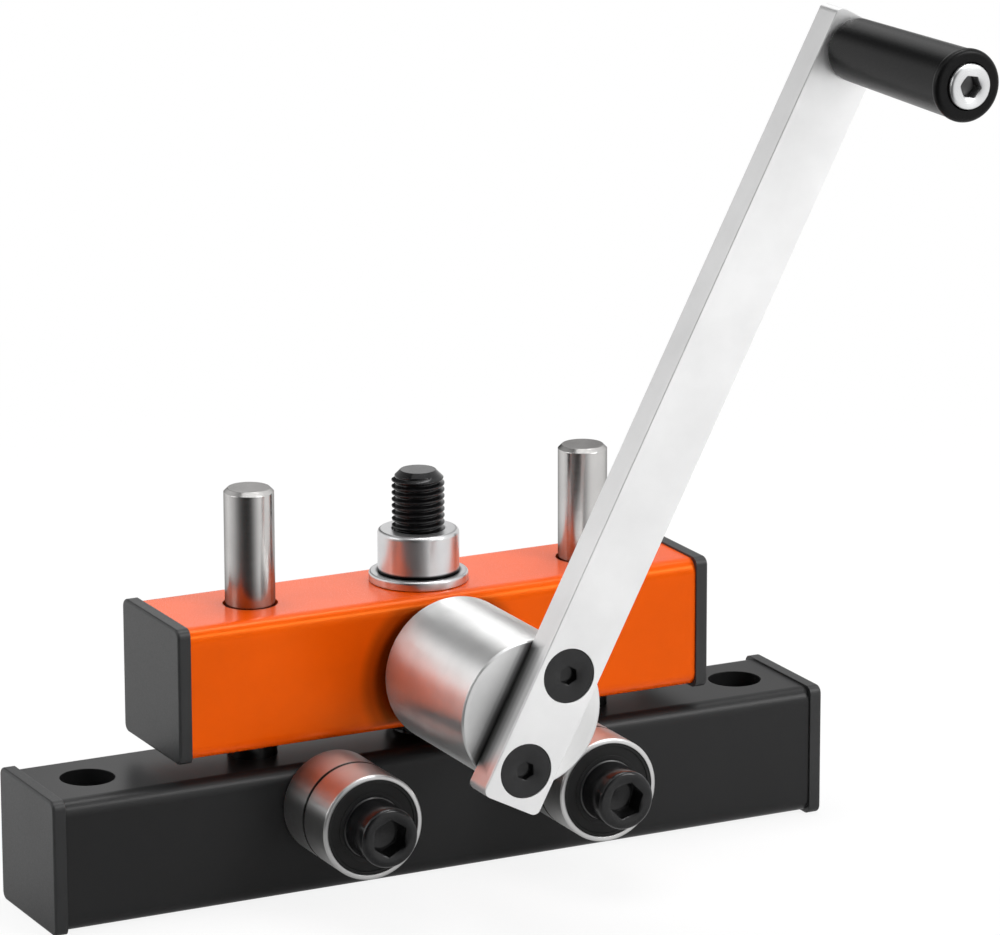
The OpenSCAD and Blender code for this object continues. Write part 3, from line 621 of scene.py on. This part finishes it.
def add_thread(bm, d, pitch, low, high, low_chamfer, high_chamfer, turns=72, rows=12):
    """Adds a threaded rod between two heights, both ends chamfered, in rows of points on the helix."""
    major = d / 2
    depth = 0.6 * pitch
    crest, root = 0.08, 0.42
    step = pitch / rows
    count = math.ceil((high - low) / step) + rows

    def radius(share):
        """Radius at a share of the pitch from the middle of a crest."""
        off_crest = min(share % 1, 1 - share % 1)
        return major - depth * min(max((off_crest - crest) / (root - crest), 0), 1)

    grid = []
    for i in range(-rows, count):
        ring = []
        for j in range(turns + 1):
            a = 2 * math.pi * j / turns
            z = min(max(low + i * step + pitch * j / turns, low), high)
            r = min(radius(i / rows), major - low_chamfer + (z - low), major - high_chamfer + (high - z))
            ring.append(bm.verts.new((r * math.cos(a), r * math.sin(a), z)))
        grid.append(ring)
    for a, b in zip(grid, grid[1:]):
        for j in range(turns):
            if max(b[j].co.z, b[j + 1].co.z) - min(a[j].co.z, a[j + 1].co.z) > NO_HEIGHT:
                bm.faces.new((a[j], a[j + 1], b[j + 1], b[j]))
    for z, r in ((low, major - low_chamfer), (high, major - high_chamfer)):
        add_lathe(bm, [(r, z), (0, z)], turns)


def forward(x, y, z, turn=0.0):
    """Frame whose +Z points at the crank side, from a point of the row frame."""
    upright = Matrix.Rotation(math.radians(90), 4, "X")
    return Matrix.Translation((x, y, z)) @ upright @ Matrix.Rotation(turn, 4, "Z")


def on_crank(along, out):
    """Frame on the roller's front face, +Y along the crank and +Z forward."""
    return forward(0, ROLLER_FACE_Y, DRIVE_Z, -LEAN) @ Matrix.Translation((0, along, out))


# Screws, in metres, with the turn of a socket in degrees

class Screw:
    """Sizes of a socket head screw."""

    def __init__(self, d, pitch, head_d, head_h, across_flats):
        self.d = d
        self.pitch = pitch
        self.head_d = head_d
        self.head_h = head_h
        self.across_flats = across_flats


M8 = Screw(d=0.008, pitch=0.00125, head_d=0.013, head_h=0.008, across_flats=0.006)
M12 = Screw(d=0.012, pitch=0.00175, head_d=0.018, head_h=0.012, across_flats=0.010)
M16 = Screw(d=0.016, pitch=0.002, head_d=0.024, head_h=0.016, across_flats=0.014)
SHANK_PLAY = 0.00005
THREAD_PLAY = 0.00008
TIP_CHAMFER = 0.001
CLAMP_TIP_CHAMFER = 0.0026


def threaded_bolt(name, place, screw, length, threaded, turn, body, material, replaced,
                  chamfer=TIP_CHAMFER):
    """Socket head screw: its head stands on z = 0 of the place, its shank hangs below it."""
    r = screw.head_d / 2
    top = screw.head_h
    edge_r = 0.075 * screw.head_d
    foot_edge = 0.0004
    neck = 0.0006
    socket_depth = 0.55 * top
    shank_r = screw.d / 2 - SHANK_PLAY
    thread_top = threaded - length
    shank = [(shank_r, thread_top), (shank_r, -neck), (shank_r + foot_edge, 0)]
    head = [(r - foot_edge, 0), (r, foot_edge), (r, top - edge_r)]
    bm = bmesh.new()
    add_lathe(bm, shank + head + arc(r - edge_r, top - edge_r, edge_r, 0, 90))
    add_socket(bm, screw.across_flats, top, socket_depth, r - edge_r, turn)
    add_thread(bm, screw.d - THREAD_PLAY, screw.pitch, -length, thread_top, chamfer, 0)
    obj = piece(name, mesh_from(name, bm, place), material, body)
    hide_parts(replaced)


def clamp_screw():
    """The clamp bolt, upside down under the lower beam's top wall."""
    seat_z = BEAM_TOP - TUBE_WALL
    place = Matrix.Translation((0, 0, seat_z)) @ Matrix.Rotation(math.pi, 4, "X")
    threaded_bolt("clamp_bolt_threaded", place, M16, length=CLAMP_TIP - seat_z, threaded=0.066, turn=0,
                  body="base", material=OXIDE, replaced="clamp_bolt",
                  chamfer=CLAMP_TIP_CHAMFER)


def support_bolts():
    length = SUPPORT_END_Y - SUPPORT_HEAD_Y
    for side, x, turn in (("left", LEFT_X, 26), ("right", RIGHT_X, 14)):
        place = forward(x, SUPPORT_HEAD_Y, SUPPORT_Z)
        threaded_bolt(f"support_bolt_{side}_threaded", place, M12, length, threaded=0.030, turn=turn,
                      body="base", material=OXIDE,
                      replaced=f"support_bolt_{side}")


def grip_bolt():
    seat_y = GRIP_BOLT_FACE_Y + M8.head_h
    place = on_crank(CRANK_R, ROLLER_FACE_Y - seat_y)
    threaded_bolt("grip_bolt_bright", place, M8, length=GRIP_BOLT_END_Y - seat_y, threaded=0.020, turn=18,
                  body="crank", material=BOLT, replaced="grip_bolt")


def arm_screws():
    """Countersunk screws of the arm, in one piece."""
    length = 0.025
    head_r, head_edge = 0.0082, 0.0002
    land, cone = 0.0005, 0.0042
    neck_r = M8.d / 2 - 0.00003
    socket_w, socket_depth = 0.005, 0.0028
    socket_turn = 30 + LEAN_DEGREES
    off_axis = 0.0151
    sunk = 0.0002
    profile = [(head_r - head_edge, 0), (head_r, -head_edge), (head_r, -land), (neck_r, -land - cone)]
    bm = bmesh.new()
    for side in (-1, 1):
        part = bmesh.new()
        add_socket(part, socket_w, 0, socket_depth, head_r - head_edge, socket_turn)
        add_lathe(part, profile)
        add_thread(part, M8.d - THREAD_PLAY, M8.pitch, -length, -land - cone, TIP_CHAMFER, 0)
        bmesh.ops.transform(part, matrix=on_crank(side * off_axis, ARM_T - sunk), verts=part.verts)
        mesh = bpy.data.meshes.new("arm_screw_part")
        part.to_mesh(mesh)
        part.free()
        bm.from_mesh(mesh)
        bpy.data.meshes.remove(mesh)
    name = "arm_screws_countersunk"
    obj = piece(name, mesh_from(name, bm), OXIDE, "crank")
    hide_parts("arm_screws")


# Lift spring

def lift_spring():
    """Round wire coil with closed end turns, just inside the corners of the solid's coil."""
    wire, turns = 0.0022, 9
    closed = wire + 0.0005
    bolt_play, end_play = 0.0001, 0.00002
    solid_corners = 8
    inside = 0.985
    steps, sides = 40, 16
    solid_r = (M16.d / 2 + bolt_play + wire / 2) / math.cos(math.pi / solid_corners)
    bottom = BEAM_TOP + end_play + wire / 2
    travel = UPPER_TOP - TUBE_WALL - BEAM_TOP - 2 * end_play - wire
    pitch = (travel - 2 * closed) / (turns - 2)
    up = Vector((0, 0, 1))

    def climb(t):
        """Rise after a number of turns."""
        if t < 1:
            return closed * t
        if t > turns - 1:
            return travel - closed * (turns - t)
        return closed + pitch * (t - 1)

    bm = bmesh.new()
    rings = []
    for i in range(turns * steps + 1):
        t = i / steps
        out = Vector((math.cos(2 * math.pi * t), math.sin(2 * math.pi * t), 0))
        centre = out * solid_r * inside + up * (bottom + climb(t))
        ring = [centre + wire / 2 * (math.cos(a) * out + math.sin(a) * up) for a in round_angles(sides)]
        rings.append([bm.verts.new(point) for point in ring])
    for a, b in zip(rings, rings[1:]):
        bridge(bm, a, b)
    bm.faces.new(rings[0])
    bm.faces.new(rings[-1])
    name = "lift_spring_wire"
    obj = piece(name, mesh_from(name, bm), SPRING, "base")
    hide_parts("lift_spring")


# Studio, in metres and watts

WORLD_LIGHT = 0.3
FLOOR_HALF = 4
FLOOR_COLOUR = grey(0.92)
# Distance from the origin, and the share of plain white that the floor shows there
FLOOR_NEAR, NEAR_WHITE = 0.15, 0.88
FLOOR_FAR, FAR_WHITE = 0.7, 1.0
LAMP_TARGET = Vector((0, 0, 0.08))
# Name, place, size and power
LAMPS = (("key_softbox", (1.1, -1.5, 1.3), (1.0, 1.0), 22),
         ("left_softbox", (-1.6, 0.3, 0.9), (0.8, 1.2), 5.5),
         ("top_softbox", (0.1, 0.3, 1.7), (1.4, 0.8), 23))


def studio_world():
    """White where the viewer or a reflection sees it, and a low even light elsewhere."""
    world = bpy.data.worlds.new("studio_world")
    bpy.context.scene.world = world
    world.use_nodes = True
    tree = world.node_tree
    back = tree.nodes["Background"]
    back.inputs["Color"].default_value = (*WHITE, 1)
    level = tree.nodes.new("ShaderNodeMapRange")
    level.inputs["To Min"].default_value = WORLD_LIGHT
    level.inputs["To Max"].default_value = 1.0
    tree.links.new(seen_by_viewer(tree), level.inputs["Value"])
    tree.links.new(level.outputs["Result"], back.inputs["Strength"])


def floor_material():
    """Pale matt floor that keeps a faint shadow under the object and turns white away from it."""
    material = bpy.data.materials.new("pale_floor")
    material.use_nodes = True
    tree = material.node_tree
    tree.nodes.clear()
    matt = tree.nodes.new("ShaderNodeBsdfDiffuse")
    matt.inputs["Color"].default_value = (*FLOOR_COLOUR, 1)
    glow = tree.nodes.new("ShaderNodeEmission")
    glow.inputs["Color"].default_value = (*WHITE, 1)
    place = tree.nodes.new("ShaderNodeTexCoord")
    reach = tree.nodes.new("ShaderNodeVectorMath")
    reach.operation = "LENGTH"
    white = tree.nodes.new("ShaderNodeMapRange")
    white.interpolation_type = "SMOOTHSTEP"
    white.inputs["From Min"].default_value = FLOOR_NEAR
    white.inputs["From Max"].default_value = FLOOR_FAR
    white.inputs["To Min"].default_value = NEAR_WHITE
    white.inputs["To Max"].default_value = FAR_WHITE
    share = tree.nodes.new("ShaderNodeMath")
    share.operation = "MULTIPLY"
    mix = tree.nodes.new("ShaderNodeMixShader")
    out = tree.nodes.new("ShaderNodeOutputMaterial")
    for source, target in ((place.outputs["Object"], reach.inputs[0]),
                           (reach.outputs["Value"], white.inputs["Value"]),
                           (seen_by_viewer(tree), share.inputs[0]),
                           (white.outputs["Result"], share.inputs[1]),
                           (share.outputs[0], mix.inputs["Fac"]),
                           (matt.outputs[0], mix.inputs[1]),
                           (glow.outputs[0], mix.inputs[2]),
                           (mix.outputs[0], out.inputs["Surface"])):
        tree.links.new(source, target)
    return material


def studio_floor():
    bm = bmesh.new()
    bmesh.ops.create_grid(bm, x_segments=8, y_segments=8, size=FLOOR_HALF)
    mesh = bpy.data.meshes.new("studio_floor")
    bm.to_mesh(mesh)
    bm.free()
    mesh.materials.append(floor_material())
    floor = bpy.data.objects.new("studio_floor", mesh)
    floor.location.z = cad_box[0][2]
    bpy.context.scene.collection.objects.link(floor)


def studio_lamps():
    for name, place, size, power in LAMPS:
        data = bpy.data.lights.new(name, "AREA")
        data.shape = "RECTANGLE"
        data.size, data.size_y = size
        data.energy = power
        light = bpy.data.objects.new(name, data)
        light.location = place
        light.rotation_euler = (LAMP_TARGET - Vector(place)).to_track_quat("-Z", "Y").to_euler()
        bpy.context.scene.collection.objects.link(light)


# Flags: sheets that glow at a level of grey and that only reflections see, with (degrees, level) stops of
# that glow

VIEWER_AZIMUTH = round(-90 - CAMERA_YAW, 1)

# Degrees from the viewer's direction towards the right
WALL_STEP = 4
WALL_LEVELS = ((-100, 1), (-90, 0.86), (-72, 0.62), (-56, 0.32), (-42, 0.12), (-28, 0.05),
               (-14, 0.02), (0, 0.05), (7, 0.13), (21, 0.42), (34, 0.78), (46, 1), (64, 1))
NEAR_STEP = 5
NEAR_LEVELS = ((-180, 1), (-78, 1), (-58, 0.5), (-35, 0.35), (-10, 0.35), (5, 0.3), (15, 0.45),
               (28, 1), (180, 1))
NEAR_CENTRE_LEVEL = 0.45
NEAR_R = 0.25
WALL_R = 1.9
WALL_TOP = 2.6
FLAG_LOW = cad_box[0][2] + 0.0005

# Degrees round the drive roller, from its right side upwards, and tilts of its surface to the front
OVERHEAD_STEP = 3
OVERHEAD_LEVELS = ((72, 0.3), (80, 0.4), (86, 0.6), (92, 1), (107, 1), (112, 0.5), (116, 0.08),
                   (121, 0), (126, 0.06), (132, 0.35), (137, 0.75), (141, 1))
OVERHEAD_TILTS = range(-24, 36, 6)
OVERHEAD_DISTANCE = 1.4
ROLLER_MIDDLE_Y = -0.045


def flag(name, points, levels, faces):
    """Adds a sheet that glows at a level given at each point and that only reflections see."""
    mesh = bpy.data.meshes.new(name)
    mesh.from_pydata(points, [], faces)
    mesh.attributes.new("level", "FLOAT", "POINT").data.foreach_set("value", levels)
    cloth = bpy.data.objects.new(name, mesh)
    bpy.context.scene.collection.objects.link(cloth)
    for ray in ("camera", "diffuse", "shadow", "transmission", "volume_scatter"):
        setattr(cloth, f"visible_{ray}", False)
    material = bpy.data.materials.new(name)
    material.use_nodes = True
    tree = material.node_tree
    tree.nodes.clear()
    level = tree.nodes.new("ShaderNodeAttribute")
    level.attribute_name = "level"
    glow = tree.nodes.new("ShaderNodeEmission")
    out = tree.nodes.new("ShaderNodeOutputMaterial")
    tree.links.new(level.outputs["Fac"], glow.inputs["Strength"])
    tree.links.new(glow.outputs[0], out.inputs["Surface"])
    mesh.materials.append(material)


def steps_of(stops, step):
    """Whole degrees from the first stop to the last."""
    return range(stops[0][0], stops[-1][0] + 1, step)


def between(value, stops):
    """Straight line interpolation in (value, level) stops."""
    for (a, low), (b, high) in zip(stops, stops[1:]):
        if value <= b:
            return low + (high - low) * (value - a) / (b - a)


def round_viewer(degrees, radius, height):
    a = math.radians(VIEWER_AZIMUTH + degrees)
    return radius * math.cos(a), radius * math.sin(a), height


def front_flag():
    """A wall on the viewer's side and the floor before it, dark in the middle."""
    points, levels, faces = [], [], []
    for degrees in steps_of(WALL_LEVELS, WALL_STEP):
        i = len(points)
        points.append(round_viewer(degrees, NEAR_R, FLAG_LOW))
        points.append(round_viewer(degrees, WALL_R, FLAG_LOW))
        points.append(round_viewer(degrees, WALL_R, WALL_TOP))
        levels += [between(degrees, WALL_LEVELS)] * 3
        if i:
            faces += [(i - 3, i, i + 1, i - 2), (i - 2, i + 1, i + 2, i - 1)]
    flag("front_flag", points, levels, faces)


def near_flag():
    """The floor close to the object, as a fan of triangles."""
    points, levels, faces = [(0, 0, FLAG_LOW)], [NEAR_CENTRE_LEVEL], []
    for degrees in steps_of(NEAR_LEVELS, NEAR_STEP):
        i = len(points)
        points.append(round_viewer(degrees, NEAR_R, FLAG_LOW))
        levels.append(between(degrees, NEAR_LEVELS))
        if i > 1:
            faces.append((0, i - 1, i))
    flag("near_flag", points, levels, faces)


def overhead_flag():
    """Dark strips overhead, each point where the roller's surface mirrors it to the viewer."""
    sight = sight_line()
    middle = Vector((0, ROLLER_MIDDLE_Y, DRIVE_Z))
    columns = steps_of(OVERHEAD_LEVELS, OVERHEAD_STEP)
    width = len(columns)
    points, levels, faces = [], [], []
    for tilt in map(math.radians, OVERHEAD_TILTS):
        for degrees in columns:
            i = len(points)
            a = math.radians(degrees)
            n = Vector((math.cos(a) * math.cos(tilt), -math.sin(tilt), math.sin(a) * math.cos(tilt)))
            points.append(middle + OVERHEAD_DISTANCE * (sight - 2 * sight.dot(n) * n))
            levels.append(between(degrees, OVERHEAD_LEVELS))
            if i > width and i % width:
                faces.append((i - width - 1, i - width, i, i - 1))
    flag("overhead_flag", points, levels, faces)


# The part

def dress():
    paint(BLACK, "lower_beam")
    paint(ORANGE, "upper_beam", "axle_boss")
    paint(CAP, "lower_cap_left", "lower_cap_right", "upper_cap_left", "upper_cap_right")
    for side, x in (("left", -PIN_X), ("right", PIN_X)):
        paint(pin_steel(side, x), f"guide_pin_{side}")
    for side, x, z in (("left", LEFT_X, SUPPORT_Z), ("right", RIGHT_X, SUPPORT_Z), ("drive", 0, DRIVE_Z)):
        steel, race, seal = bearing_materials(side, x, z)
        for place in ("rear", "front"):
            paint(steel, f"{side}_{place}_outer_ring", f"{side}_{place}_ball_set")
            paint(race, f"{side}_{place}_inner_ring")
            paint(seal, f"{side}_{place}_seals")
    paint(CLAMP, "clamp_nut", "clamp_washer")
    paint(ZINC, "support_bolt_washers", "support_bolt_nuts", "support_shims", "axle_spacer", "grip_bush")
    paint(OXIDE, "axle_screw")
    paint(SPRING, "drum_circlip")
    paint(DRUM, "drive_drum")
    paint(ARM, "crank_arm")
    paint(GRIP, "crank_grip")


bpy.context.scene.view_settings.view_transform = "Standard"
aim_camera()
studio_world()
studio_floor()
studio_lamps()
front_flag()
near_flag()
overhead_flag()
dress()
clamp_screw()
support_bolts()
grip_bolt()
arm_screws()
lift_spring()

bpy.context.view_layer.update()
